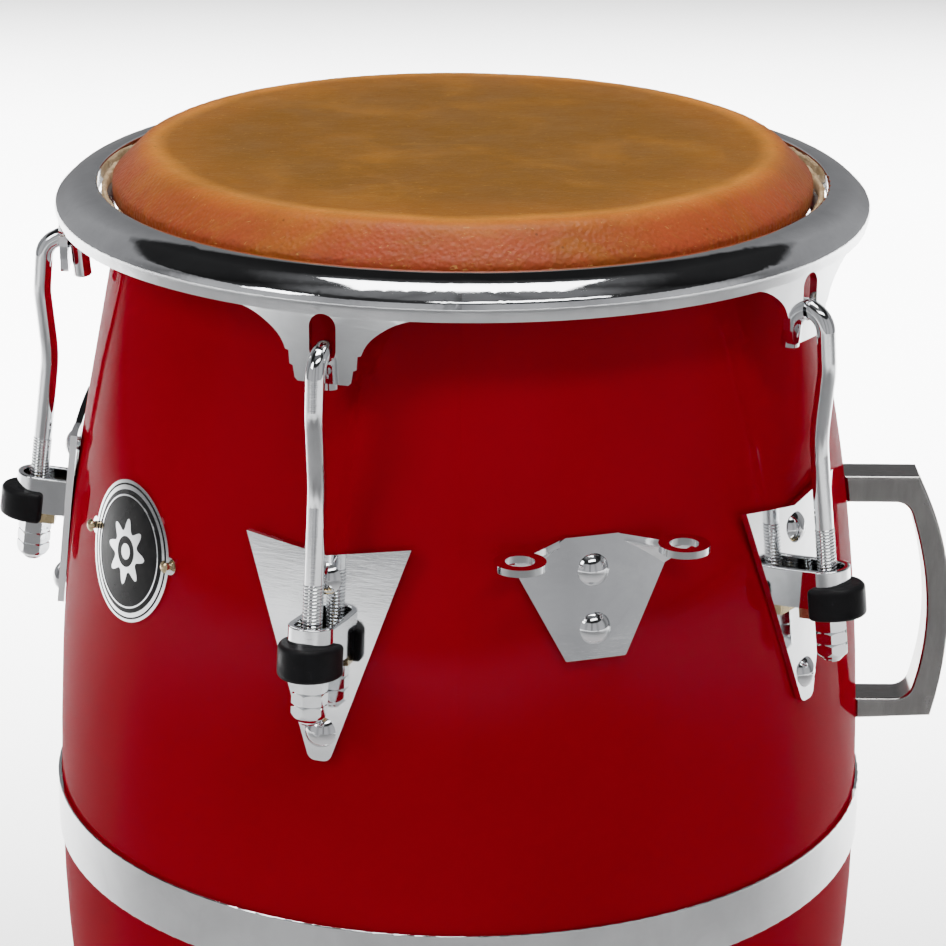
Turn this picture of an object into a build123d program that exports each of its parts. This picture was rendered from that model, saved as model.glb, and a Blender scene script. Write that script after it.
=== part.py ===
from build123d import *
import os
from math import atan, cos, degrees, radians, sin, sqrt

# A tunable barrel drum on its rubber foot. Millimetres, +Z up, origin on the drum's axis at the
# floor. The front is -Y. An azimuth is measured from the front towards +X. Every fitting is built
# at the front and turned to its azimuth when it is written.

os.makedirs("parts", exist_ok=True)

# --- Overall layout -------------------------------------------------------------------------
RIM_Z = 748.0  # height of the counterhoop's inner edge
LUG_COUNT = 5
FIRST_LUG_AZIMUTH = -90.0
BRACKET_AZIMUTH = 18.0
HANDLE_AZIMUTH = 90.0
BADGE_AZIMUTH = -54.0
FIT_GAP = 0.1  # air between a fitting and the lacquered wall

# --- Shell ----------------------------------------------------------------------------------
WALL = 9.0
SHELL_BOTTOM_Z = 6.0
WASHER_STANDOFF = 0.5  # flat washers rest on their rims inside the curved wall
# The wall swells to a belly. Above it two arcs lead into a straight cone up to the bearing edge.
# Below it one arc leads into a cone, and a last arc stands the wall up again at the foot.
BELLY_R = 184.8
BELLY_Z = 438.0
UPPER_ARCS = ((1507.0, 3.5), (925.0, 7.5))  # radius, degrees turned
LOWER_ARC = (749.0, 11.4)
LOWER_CONE_END_Z = 90.0
FOOT_ARC = (760.0, 6.5)
EDGE_START_Z = RIM_Z + 2.0
CREST_R = 130.0
CREST_ARC = 21.1
CREST_Z = RIM_Z + 11.9
LIP_INNER_R = 127.5
LIP_BOTTOM_Z = RIM_Z - 26.0
LIP_TAPER = 34.0
LIP_DRAFT = 1.5

# --- Bands and foot -------------------------------------------------------------------------
BAND_TOP_Z = RIM_Z - 279.0
BAND_HEIGHT = 25.4
BAND_THICKNESS = 1.5
FOOT_HEIGHT = 30.0
FOOT_THICKNESS = 4.0
FOOT_INSIDE_TOP_Z = 18.0
FOOT_CORNER = 2.5

# --- Head -----------------------------------------------------------------------------------
SKIN = 1.8
HEAD_TOP_Z = RIM_Z + 14.0
COLLAR_REACH = 153.6  # radius at which the collar's 45 degree slope crosses the rim plane
RING_R = 156.6
RING_Z = RIM_Z - 13.0
RING_BAR_R = 4.0
TUCK_R = 157.1
TUCK_TOP_Z = RIM_Z - 2.4
LAP_OPENING = 1.0

# --- Counterhoop ----------------------------------------------------------------------------
HOOP_INNER_R = 160.0
SKIRT_R = 177.5
SKIRT_BOTTOM = -16.3
EAR_THICKNESS = 3.5
SLOT_WIDTH = 11.2
SLOT_TOP = -15.5
SLOT_BOTTOM = -36.0
EAR_TOP = -12.0
EAR_BOTTOM = -44.2
# Right half of an ear, half-width and depth below the rim plane: a hollow flare, two steps.
EAR_FLARE = ((37.0, -16.0), (25.5, -20.4), (19.2, -25.6), (15.9, -31.6))
EAR_STEPS = ((14.5, -32.0), (14.1, -37.5), (12.7, -38.1), (11.9, -43.0), (10.7, EAR_BOTTOM))

# --- Tension rods, nuts and lugs ------------------------------------------------------------
ROD_R = 7.94 / 2
THREAD_CLEARANCE = 0.05
LUG_TILT = 7.0  # degrees; the rod leans out downwards, parallel to the wall
LUG_R = 192.0  # rod axis at the lug's reference height
LUG_Z = RIM_Z - 147.2
# Distances along the rod are measured up it from the reference height.
ROD_END = -36.0
# The hook's centre line from its tip, over the ear and down to the crank: radius and depth.
HOOK_LINE = ((168.6, -49.0), (170.6, -27.4), (185.2, -34.6), (187.1, -56.0))
HOOK_BENDS = [6.0, 9.0, 34.0, 70.0]
CRANK_ALONG = 61.6
STRAP_TOP = 5.6
STRAP_BOTTOM = -11.1
STRAP_OUTER = 9.8
STRAP_WALL = 2.6
SADDLE_BOTTOM = -15.6
SADDLE_HALF = 9.5
BUMPER_TOP = -1.4
BUMPER_REACH = 16.4
BUMPER_HALF = 13.2
BUMPER_BACK = -3.4
NUT_LENGTH = 19.0
NUT_FLATS = 13.0
NUT_GROOVE = 0.7
PLATE_FACE = -13.9  # outer face of the lug plate, measured outwards from the rod axis
PLATE_THICKNESS = 3.0
PLATE_BEND = 420.0  # the plates are rolled to this radius, flatter than the wall
PLATE_HALF = 35.4
PLATE_TOP = 37.0
PLATE_NOTCH = 31.0
PLATE_TIP = -55.8
PLATE_TIP_HALF = 4.4
PLATE_TIP_ROUND = 4.0
WELD_DEPTH = 0.3
SADDLE_CLEARANCE = 0.5
BUMPER_ROUND = 2.2
BUMPER_BORE = STRAP_OUTER + FIT_GAP
LUG_BOLT_ALONG = (21.4, -43.4)

# --- Bolts through the wall -----------------------------------------------------------------
BOLT_R = 3.1
BOLT_HOLE_R = 3.3
BOLT_HEAD_R = 6.7
BOLT_DOME = 3.6
BOLT_NUT_FLATS = 11.1
BOLT_NUT_HEIGHT = 5.5
WASHER_R = 9.5
WASHER_THICKNESS = 1.6

# --- Bracket --------------------------------------------------------------------------------
BRACKET_Z = RIM_Z - 135.2
BRACKET_HALF_HEIGHT = 25.6
BRACKET_TOP_HALF = 11.5
BRACKET_SHOULDER_HALF = 32.2
BRACKET_SHOULDER_DROP = 12.9
BRACKET_BOTTOM_HALF = 12.9
BRACKET_BOLTS = (11.6, -12.9)
BRACKET_FACE_OUT = PLATE_THICKNESS + 2 * FIT_GAP
TAB_THICKNESS = 3.0
TAB_CORNER = 0.6
TAB_INSET = 0.1
LOBE_ROOT = 6.6  # the tab has turned level this far inside the lobe's centre
LOBE_TOP_Z = RIM_Z - 112.0
LOBE_X = 35.0
LOBE_R = 185.0
LOBE_OUTER = 10.6
LOBE_HOLE = 6.0

# --- Handle ---------------------------------------------------------------------------------
HANDLE_WIDTH = 18.6
# Radius and depth below the rim plane: the outside of the grip, then its inside.
GRIP_OUTSIDE = ((207.5, -138.0), (214.8, -154.0), (220.6, -172.0), (224.0, -193.0))
GRIP_OUTSIDE += ((224.2, -214.0), (222.2, -236.0), (218.4, -255.4))
GRIP_INSIDE = ((203.0, -150.6), (209.6, -172.0), (213.4, -194.0), (213.6, -218.0), (207.6, -247.0))
ARM_ROOT_R = 150.0
ARM_BOTTOM = -258.4
HANDLE_EDGE_ROUND = 1.3
WINDOW_ROUND = 8.0
HANDLE_THREAD_DEPTH = 14.0
SCREW_HEAD_R = 6.0
SCREW_HEAD_HEIGHT = 4.0
HANDLE_SCREW_HEIGHTS = (-144.5, -252.3)

# --- Badge ----------------------------------------------------------------------------------
BADGE_Z = RIM_Z - 141.0
BADGE_HALF_WIDTH = 30.0
BADGE_HALF_HEIGHT = 30.5
BADGE_THICKNESS = 1.0
BADGE_SCREW_X = 30.6
BADGE_SCREW_UP = 2.4
BADGE_TAB_R = 3.7
BADGE_SCREW_R = 1.6
BADGE_SCREW_HEAD_R = 2.7
BADGE_SCREW_DOME = 1.3
BADGE_SCREW_LENGTH = 7.0
DRILL_START = 10.0
DRILL_LENGTH = 40.0

BISECTIONS = 30

# A sketch plane through the drum's axis: x is the radius towards the front and y the height.
SIDE = Plane(origin=(0, 0, 0), x_dir=(0, -1, 0), z_dir=(-1, 0, 0))

RIM_SIDE = Plane(origin=(0, 0, RIM_Z), x_dir=(0, -1, 0), z_dir=(-1, 0, 0))
RIM_FRONT = Plane(origin=(0, 0, RIM_Z), x_dir=(1, 0, 0), z_dir=(0, -1, 0))

TILT_SIN = sin(radians(LUG_TILT))
TILT_COS = cos(radians(LUG_TILT))
LUG_OUT = Vector(0, -TILT_COS, TILT_SIN)
LUG_UP = Vector(0, TILT_SIN, TILT_COS)
LUG_ORIGIN = Vector(0, -LUG_R, LUG_Z)
LUG_AXIS = Axis(LUG_ORIGIN, LUG_UP)
LUG_AZIMUTHS = [FIRST_LUG_AZIMUTH + i * 360.0 / LUG_COUNT for i in range(LUG_COUNT)]


def lug_section(along):
    """Plane across the rod: x outwards from the drum, y to the right, z up the rod."""
    return Plane(origin=LUG_ORIGIN + LUG_UP * along, x_dir=LUG_OUT, z_dir=LUG_UP)


def lug_face(out):
    """Plane parallel to the lug plate: x to the right, y up the rod, z outwards."""
    return Plane(origin=LUG_ORIGIN + LUG_OUT * out, x_dir=(1, 0, 0), z_dir=LUG_OUT)


def axis_point(along):
    """Radius and height of a point on the rod's axis."""
    return (LUG_R - along * TILT_SIN, LUG_Z + along * TILT_COS)


def wall_line(shift=0.0):
    """The wall's outline from the foot up, moved sideways; returns its lower and upper ends."""
    belly = (BELLY_R + shift, BELLY_Z)
    below = JernArc(belly, (0, -1), LOWER_ARC[0], -LOWER_ARC[1])
    lean = radians(LOWER_ARC[1])
    cone_run = (below @ 1).Y - LOWER_CONE_END_Z
    cone = Line(below @ 1, below @ 1 - Vector(sin(lean), cos(lean)) * (cone_run / cos(lean)))
    foot = JernArc(cone @ 1, cone % 1, *FOOT_ARC)
    above = JernArc(belly, (0, 1), *UPPER_ARCS[0])
    shoulder = JernArc(above @ 1, above % 1, *UPPER_ARCS[1])
    turned = radians(UPPER_ARCS[0][1] + UPPER_ARCS[1][1])
    top_run = EDGE_START_Z - (shoulder @ 1).Y
    top = Line(shoulder @ 1, shoulder @ 1 + shoulder % 1 * (top_run / cos(turned)))
    return foot @ 1, top @ 1


# The wall's outline laid flat: x is the radius and y the height.
with BuildLine() as wall_curve:
    wall_line()
WALL_EDGES = wall_curve.edges().sort_by(Axis.Y)


def wall_radius(height):
    """Outer radius of the shell at a height, found on the wall's own curve."""
    edge = next(
        (edge for edge in WALL_EDGES if height <= max((edge @ 0).Y, (edge @ 1).Y)), WALL_EDGES[-1]
    )
    start, end = (0.0, 1.0) if (edge @ 0).Y < (edge @ 1).Y else (1.0, 0.0)
    for _ in range(BISECTIONS):
        middle = (start + end) / 2
        if (edge @ middle).Y < height:
            start = middle
        else:
            end = middle
    return (edge @ start).X


def wall_face(height, out=0.0):
    """Plane on the wall at the front: x to the right, y up the wall, z square to the wall."""
    slope = (wall_radius(height - 5) - wall_radius(height + 5)) / 10
    tilt = atan(slope)
    normal = Vector(0, -cos(tilt), sin(tilt))
    return Plane(
        origin=Vector(0, -wall_radius(height), height) + normal * out,
        x_dir=(1, 0, 0),
        z_dir=normal,
    )


def write(part, name):
    part.label = name
    export_step(part, f"parts/{name}.step")


def write_copies(part, name):
    """One file for each lug position."""
    for number, azimuth in enumerate(LUG_AZIMUTHS, 1):
        write(part.rotate(Axis.Z, azimuth), f"{name}_{number}")


def write_group(parts, name):
    """One file that holds several separate solids."""
    write(Compound(children=parts), name)


def copies_at(part, azimuths):
    return [part.rotate(Axis.Z, azimuth) for azimuth in azimuths]


def shifted(plane, right, up):
    return Plane(
        origin=plane.from_local_coords(Vector(right, up, 0)), x_dir=plane.x_dir, z_dir=plane.z_dir
    )


def cut_plane(plane):
    """Plane that holds a fastener's axis: x to the right, y out of the wall."""
    return Plane(
        origin=plane.origin, x_dir=plane.x_dir, z_dir=plane.x_dir.cross(plane.z_dir)
    )


def drill(plane, radius, azimuths):
    """Cutters through the wall on a fastener's axis, turned to each azimuth."""
    with BuildPart() as cutter:
        with BuildSketch(plane.offset(DRILL_START)):
            Circle(radius)
        extrude(amount=-DRILL_LENGTH)
    return copies_at(cutter.part, azimuths)


def depth_to_inside(plane):
    """Distance along a fastener's axis from its seat to where a washer lies inside the wall."""
    seat = plane.origin
    tilt_cos = Vector(0, -1, 0).dot(plane.z_dir)
    return (-seat.Y - wall_radius(seat.Z) + WALL) * tilt_cos + WASHER_STANDOFF


def headed_pin(plane, head_r, dome, shank_r, length):
    """A domed head seated on the plane, with its shank running inwards."""
    with BuildPart() as pin:
        with BuildSketch(cut_plane(plane)):
            with BuildLine():
                Line((0, 0), (head_r, 0))
                RadiusArc((head_r, 0), (0, dome), -(head_r**2 + dome**2) / (2 * dome))
                Line((0, dome), (0, 0))
            make_face()
            with Locations((shank_r / 2, -length / 2)):
                Rectangle(shank_r, length)
        revolve(axis=Axis(plane.origin, plane.z_dir))
    return pin.part


def washer_and_nut(plane, depth):
    """The flat washer and the hexagon nut on the inner end of a bolt."""
    washer_plane = plane.offset(-depth)
    with BuildPart() as washer:
        with BuildSketch(washer_plane):
            Circle(WASHER_R)
            Circle(BOLT_HOLE_R, mode=Mode.SUBTRACT)
        extrude(amount=-WASHER_THICKNESS)
    with BuildPart() as nut:
        with BuildSketch(washer_plane.offset(-WASHER_THICKNESS)):
            RegularPolygon(BOLT_NUT_FLATS / 2, 6, major_radius=False)
            Circle(BOLT_R + THREAD_CLEARANCE, mode=Mode.SUBTRACT)
        extrude(amount=-BOLT_NUT_HEIGHT)
    return washer.part, nut.part


def fastener(plane):
    """A carriage bolt from outside, with its washer and nut."""
    depth = depth_to_inside(plane)
    length = depth + WASHER_THICKNESS + BOLT_NUT_HEIGHT + BOLT_R
    bolt = headed_pin(plane, BOLT_HEAD_R, BOLT_DOME, BOLT_R, length)
    return bolt, *washer_and_nut(plane, depth)


def wall_form(start, end, low_z, high_z):
    """A turned form that follows the wall, from one distance off it to another."""
    with BuildPart() as form:
        with BuildSketch(SIDE):
            with BuildLine():
                near_bottom, near_top = wall_line(start)
                far_bottom, far_top = wall_line(end)
                Line(near_bottom, far_bottom)
                Line(near_top, far_top)
            make_face()
            with Locations((0, (low_z + high_z) / 2)):
                Rectangle(4 * LUG_R, high_z - low_z, mode=Mode.INTERSECT)
        revolve(axis=Axis.Z)
    return form.part


def badge_screw_plane(side):
    return shifted(wall_face(BADGE_Z, FIT_GAP + BADGE_THICKNESS), side * BADGE_SCREW_X, BADGE_SCREW_UP)


# Bolt stations: planes on the outer face of each fitting, at the front.
LUG_BOLT_PLANES = [shifted(lug_face(PLATE_FACE), 0, along) for along in LUG_BOLT_ALONG]
BRACKET_PLANE = wall_face(BRACKET_Z, BRACKET_FACE_OUT)
BRACKET_BOLT_PLANES = [shifted(BRACKET_PLANE, 0, up) for up in BRACKET_BOLTS]
HANDLE_PLANES = [
    Plane(
        origin=(0, -wall_radius(RIM_Z + height), RIM_Z + height), x_dir=(1, 0, 0), z_dir=(0, -1, 0)
    )
    for height in HANDLE_SCREW_HEIGHTS
]

# --- Shell: a barrel with a rounded bearing edge, drilled for every bolt ---------------------
slope_start = (CREST_R + CREST_ARC * sqrt(0.5), CREST_Z - CREST_ARC * (1 - sqrt(0.5)))
lip_radius = CREST_R - LIP_INNER_R
taper_end_z = LIP_BOTTOM_Z - LIP_TAPER
drillings = []
for bolt_plane in LUG_BOLT_PLANES:
    drillings += drill(bolt_plane, BOLT_HOLE_R, LUG_AZIMUTHS)
for bolt_plane in BRACKET_BOLT_PLANES:
    drillings += drill(bolt_plane, BOLT_HOLE_R, [BRACKET_AZIMUTH])
for screw_plane in HANDLE_PLANES:
    drillings += drill(screw_plane, BOLT_HOLE_R, [HANDLE_AZIMUTH])
for side in (-1, 1):
    drillings += drill(badge_screw_plane(side), BADGE_SCREW_R, [BADGE_AZIMUTH])

with BuildPart() as shell:
    with BuildSketch(SIDE):
        with BuildLine():
            foot_outside, edge_outside = wall_line()
            foot_inside, edge_inside = wall_line(-WALL)
            Line(foot_inside, foot_outside)
            Line(edge_outside, edge_inside)
        make_face()
        with Locations((0, SHELL_BOTTOM_Z - FOOT_HEIGHT)):
            Rectangle(4 * BELLY_R, 2 * FOOT_HEIGHT, mode=Mode.SUBTRACT)
        with BuildLine():
            # The thickened lip that carries the bearing edge.
            Line(edge_outside, slope_start)
            RadiusArc(slope_start, (CREST_R, CREST_Z), -CREST_ARC)
            RadiusArc((CREST_R, CREST_Z), (LIP_INNER_R, CREST_Z - lip_radius), -lip_radius)
            Polyline(
                (LIP_INNER_R, CREST_Z - lip_radius),
                (LIP_INNER_R + LIP_DRAFT, LIP_BOTTOM_Z),
                (wall_radius(taper_end_z) - WALL, taper_end_z),
                (wall_radius(taper_end_z) - WALL / 2, taper_end_z),
                (wall_radius(EDGE_START_Z) - WALL / 2, EDGE_START_Z),
                edge_outside,
            )
        make_face()
    revolve(axis=Axis.Z)
    for drilling in drillings:
        add(drilling, mode=Mode.SUBTRACT)
write(shell.part, "shell")

# --- Belly band: a flat steel hoop shrunk round the widest part ------------------------------
band_bottom_z = BAND_TOP_Z - BAND_HEIGHT
band_inner_r = max(wall_radius(BAND_TOP_Z), wall_radius(band_bottom_z)) + FIT_GAP / 2
with BuildPart() as belly_band:
    with BuildSketch(SIDE):
        with Locations((band_inner_r + BAND_THICKNESS / 2, (BAND_TOP_Z + band_bottom_z) / 2)):
            Rectangle(BAND_THICKNESS, BAND_HEIGHT)
    revolve(axis=Axis.Z)
    fillet(belly_band.edges().filter_by(GeomType.CIRCLE).group_by(SortBy.RADIUS)[-1], 0.5)
write(belly_band.part, "belly_band")

# --- Foot ring: a rubber channel that the shell's lower edge stands in -----------------------
foot_inner_r = wall_radius(SHELL_BOTTOM_Z) - WALL - FOOT_THICKNESS
foot_outer_r = wall_radius(SHELL_BOTTOM_Z) + FOOT_THICKNESS
with BuildPart() as foot_ring:
    with BuildSketch(SIDE) as foot_section:
        with BuildLine():
            Polyline(
                (foot_inner_r, 0),
                (foot_outer_r, 0),
                (wall_radius(FOOT_HEIGHT) + FOOT_THICKNESS, FOOT_HEIGHT),
                (wall_radius(FOOT_HEIGHT) + FIT_GAP, FOOT_HEIGHT),
                (wall_radius(SHELL_BOTTOM_Z) + FIT_GAP, SHELL_BOTTOM_Z),
                (wall_radius(SHELL_BOTTOM_Z) - WALL - FIT_GAP, SHELL_BOTTOM_Z),
                (wall_radius(FOOT_INSIDE_TOP_Z) - WALL - FIT_GAP, FOOT_INSIDE_TOP_Z),
                (foot_inner_r, FOOT_INSIDE_TOP_Z),
                close=True,
            )
        make_face()
        fillet(foot_section.vertices().group_by(Axis.Y)[0].sort_by(Axis.X)[-1], FOOT_CORNER)
    revolve(axis=Axis.Z)
write(foot_ring.part, "foot_ring")

# --- Head: one hide, flat on top, with its edge lapped round the flesh ring ------------------
# The top rolls over into a 45 degree collar through one arc that is tangent to both.
roll_radius = (COLLAR_REACH - CREST_R - (HEAD_TOP_Z - RIM_Z)) / (sqrt(2) - 1)
roll_end = (CREST_R + roll_radius * sqrt(0.5), HEAD_TOP_Z - roll_radius * (1 - sqrt(0.5)))
inner_roll_end = (roll_end[0] - SKIN * sqrt(0.5), roll_end[1] - SKIN * sqrt(0.5))
collar_end = (COLLAR_REACH - 0.4, RIM_Z + 0.4)
lap_r = RING_BAR_R + SKIN
with BuildPart() as head_skin:
    with BuildSketch(SIDE):
        with BuildLine():
            top = Line((0, HEAD_TOP_Z), (CREST_R, HEAD_TOP_Z))
            RadiusArc(top @ 1, roll_end, roll_radius)
            collar = Line(roll_end, collar_end)
            turn = Spline(
                collar @ 1,
                (COLLAR_REACH + 0.6, RIM_Z - 2.4),
                (COLLAR_REACH - 0.8, RIM_Z - 8.4),
                tangents=[(1, -1), (-0.5, -1)],
            )
            neck = Line(turn @ 1, (RING_R - lap_r + 0.1, RING_Z + 1.5))
            back = Spline(
                neck @ 1,
                (COLLAR_REACH - 1.7, RIM_Z - 3.2),
                (collar_end[0] - SKIN * sqrt(0.5), collar_end[1] - SKIN * sqrt(0.5)),
                tangents=[(0.3, 1), (-1, 1)],
            )
            Line(back @ 1, inner_roll_end)
            RadiusArc(inner_roll_end, (CREST_R, HEAD_TOP_Z - SKIN), -(roll_radius - SKIN))
            under = Line((CREST_R, HEAD_TOP_Z - SKIN), (0, HEAD_TOP_Z - SKIN))
            Line(under @ 1, top @ 0)
        make_face()
        with Locations((RING_R, RING_Z)):
            Circle(lap_r)
        with Locations((TUCK_R, (TUCK_TOP_Z + RING_Z + RING_BAR_R) / 2)):
            Rectangle(SKIN, TUCK_TOP_Z - RING_Z - RING_BAR_R)
        with Locations((RING_R, RING_Z)):
            Circle(RING_BAR_R, mode=Mode.SUBTRACT)
        # The lap stays open just inside the tuck, where the hide's two layers part.
        with BuildLine():
            Polyline(
                (RING_R, RING_Z),
                (TUCK_R - SKIN / 2, RING_Z + lap_r + 2),
                (TUCK_R - SKIN / 2 - LAP_OPENING, RING_Z + lap_r + 2),
                (RING_R - LAP_OPENING, RING_Z),
                close=True,
            )
        make_face(mode=Mode.SUBTRACT)
    revolve(axis=Axis.Z)
write(head_skin.part, "head_skin")

# --- Flesh ring: the round bar that the hide is lapped on ------------------------------------
with BuildPart() as flesh_ring:
    with BuildSketch(SIDE):
        with Locations((RING_R, RING_Z)):
            Circle(RING_BAR_R - FIT_GAP / 2)
    revolve(axis=Axis.Z)
write(flesh_ring.part, "flesh_ring")

# --- Counterhoop: a rolled rim whose skirt runs down into five slotted ears -------------------
# Rolled section, radius and depth below the rim plane: over the top and down the skirt.
hoop_over = ((161.3, 0.0), (167.0, -0.8), (172.6, -3.3), (176.7, -6.8), (178.7, -10.6))
hoop_under = ((175.2, -10.6), (173.8, -8.6), (170.4, -6.2), (165.4, -4.2), (163.2, -4.0))
lip_bottom = RING_Z - RIM_Z + 4.8
with BuildPart() as ear:
    with BuildSketch(RIM_FRONT.offset(HOOP_INNER_R)):
        with BuildLine():
            Line((0, EAR_TOP), (EAR_FLARE[0][0], EAR_TOP))
            Line((EAR_FLARE[0][0], EAR_TOP), EAR_FLARE[0])
            Spline(*EAR_FLARE, tangents=[(-1, -0.12), (-0.35, -1)])
            Polyline(EAR_FLARE[-1], *EAR_STEPS, (0, EAR_BOTTOM), (0, EAR_TOP))
        make_face()
        mirror(about=Plane.YZ)
    extrude(amount=SKIRT_R - HOOP_INNER_R + 5)
    with BuildSketch(RIM_SIDE):
        with Locations((SKIRT_R - EAR_THICKNESS / 2, (EAR_TOP + EAR_BOTTOM) / 2)):
            Rectangle(EAR_THICKNESS, EAR_TOP - EAR_BOTTOM + 2)
    revolve(axis=Axis.Z, mode=Mode.INTERSECT)
with BuildPart() as slot:
    with BuildSketch(RIM_FRONT.offset(SKIRT_R)):
        with Locations((0, (SLOT_TOP + SLOT_BOTTOM) / 2)):
            SlotOverall(SLOT_TOP - SLOT_BOTTOM, SLOT_WIDTH, rotation=90)
    extrude(amount=EAR_THICKNESS * 2, both=True)
ears = copies_at(ear.part, LUG_AZIMUTHS)
slots = copies_at(slot.part, LUG_AZIMUTHS)

with BuildPart() as counterhoop:
    with BuildSketch(RIM_SIDE):
        with BuildLine():
            over = Spline(*hoop_over, tangents=[(1, 0.25), (0.1, -1)])
            skirt = Spline(over @ 1, (SKIRT_R, SKIRT_BOTTOM), tangents=[(0.1, -1), (-0.1, -1)])
            hem = Line(skirt @ 1, (SKIRT_R - EAR_THICKNESS + 0.6, SKIRT_BOTTOM))
            up = Line(hem @ 1, hoop_under[0])
            under = Spline(*hoop_under)
            down = Line(under @ 1, (HOOP_INNER_R + 3.0, lip_bottom))
            foot = Line(down @ 1, (HOOP_INNER_R, lip_bottom))
            inside = Line(foot @ 1, (HOOP_INNER_R, -1.3))
            RadiusArc(inside @ 1, over @ 0, 1.3)
        make_face()
    revolve(axis=Axis.Z)
    add(ears)
    add(slots, mode=Mode.SUBTRACT)
write(counterhoop.part, "counterhoop")

# --- Hooks: a rod bent over the ear's slot, cranked in, then straight down to the lug ---------
with BuildPart() as hook:
    with BuildLine(SIDE) as hook_line:
        FilletPolyline(
            *[(radius, RIM_Z + depth) for radius, depth in HOOK_LINE],
            axis_point(CRANK_ALONG),
            axis_point(ROD_END),
            radius=HOOK_BENDS,
        )
    with BuildSketch(Plane(origin=hook_line.line @ 0, z_dir=hook_line.line % 0)):
        Circle(ROD_R)
    sweep(path=hook_line.wires()[0])
    chamfer(hook.faces().filter_by(GeomType.PLANE).edges(), 0.7)
write_copies(hook.part, "hook")

# --- Tuning nuts: long hexagons with two turned grooves and a rounded foot --------------------
nut_top = SADDLE_BOTTOM
nut_bottom = nut_top - NUT_LENGTH
nut_corner_r = NUT_FLATS / sqrt(3)
groove_depths = (NUT_LENGTH * 0.36, NUT_LENGTH * 0.64)
with BuildPart() as tuning_nut:
    with BuildSketch(lug_section(nut_bottom)):
        RegularPolygon(nut_corner_r, 6)
    extrude(amount=NUT_LENGTH)
    with BuildSketch(Plane(origin=LUG_ORIGIN, x_dir=LUG_OUT, z_dir=(-1, 0, 0))):
        with BuildLine():
            # Turned outline that rounds the hexagon's ends and cuts its two grooves.
            Polyline(
                (0, nut_bottom),
                (nut_corner_r * 0.62, nut_bottom),
                (nut_corner_r * 0.86, nut_bottom + 1.6),
                (nut_corner_r + 0.3, nut_bottom + 4.0),
                *[
                    (nut_corner_r + 0.3 - cut, nut_top - depth + rise)
                    for depth in reversed(groove_depths)
                    for cut, rise in ((0, -0.9), (NUT_GROOVE + 0.9, 0), (0, 0.9))
                ],
                (nut_corner_r + 0.3, nut_top - 1.4),
                (nut_corner_r * 0.84, nut_top),
                (0, nut_top),
                close=True,
            )
        make_face()
    revolve(axis=LUG_AXIS, mode=Mode.INTERSECT)
    with BuildSketch(lug_section(nut_bottom)):
        Circle(ROD_R + THREAD_CLEARANCE)
    extrude(amount=NUT_LENGTH, mode=Mode.SUBTRACT)
write_copies(tuning_nut.part, "tuning_nut")

# --- Lug plates: rolled steel arrowheads, notched at the top ----------------------------------
plate_back = PLATE_FACE - PLATE_THICKNESS
with BuildPart() as lug_plate:
    with BuildSketch(lug_face(plate_back - PLATE_THICKNESS)) as plate_outline:
        with BuildLine():
            Polyline(
                (0, PLATE_NOTCH),
                (PLATE_HALF, PLATE_TOP),
                (PLATE_TIP_HALF, PLATE_TIP),
                (-PLATE_TIP_HALF, PLATE_TIP),
                (-PLATE_HALF, PLATE_TOP),
                close=True,
            )
        make_face()
        fillet(plate_outline.vertices().sort_by(Axis.Y)[:2], PLATE_TIP_ROUND)
    extrude(amount=PLATE_THICKNESS * 3)
    with BuildSketch(lug_section(PLATE_TIP - 5)):
        with Locations((PLATE_FACE - PLATE_BEND, 0)):
            Circle(PLATE_BEND)
            Circle(PLATE_BEND - PLATE_THICKNESS, mode=Mode.SUBTRACT)
    extrude(amount=PLATE_TOP - PLATE_TIP + 10, mode=Mode.INTERSECT)
    for bolt_plane in LUG_BOLT_PLANES:
        with BuildSketch(bolt_plane):
            Circle(BOLT_HOLE_R)
        extrude(amount=PLATE_THICKNESS * 2, both=True, mode=Mode.SUBTRACT)
write_copies(lug_plate.part, "lug_plate")

# --- Lug straps: steel loops whose two legs are welded to the plate ----------------------------
with BuildPart() as lug_strap:
    with BuildSketch(lug_section(STRAP_BOTTOM)):
        Circle(STRAP_OUTER)
        with Locations(((PLATE_FACE - WELD_DEPTH) / 2, 0)):
            Rectangle(WELD_DEPTH - PLATE_FACE, STRAP_OUTER * 2)
        Circle(STRAP_OUTER - STRAP_WALL, mode=Mode.SUBTRACT)
        with Locations(((PLATE_FACE - WELD_DEPTH) / 2, 0)):
            Rectangle(WELD_DEPTH - PLATE_FACE, (STRAP_OUTER - STRAP_WALL) * 2, mode=Mode.SUBTRACT)
    extrude(amount=STRAP_TOP - STRAP_BOTTOM)
    fillet(lug_strap.edges().group_by(LUG_AXIS)[-1], 0.6)
write_copies(lug_strap.part, "lug_strap")

# --- Saddles: the block under each loop that the nut pulls up against --------------------------
with BuildPart() as saddle:
    with BuildSketch(lug_section(SADDLE_BOTTOM)):
        Circle(SADDLE_HALF)
        with Locations((-SADDLE_HALF / 2, 0)):
            Rectangle(SADDLE_HALF, SADDLE_HALF * 2)
        Circle(ROD_R + SADDLE_CLEARANCE, mode=Mode.SUBTRACT)
    extrude(amount=STRAP_BOTTOM - SADDLE_BOTTOM)
write_copies(saddle.part, "saddle")

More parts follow.
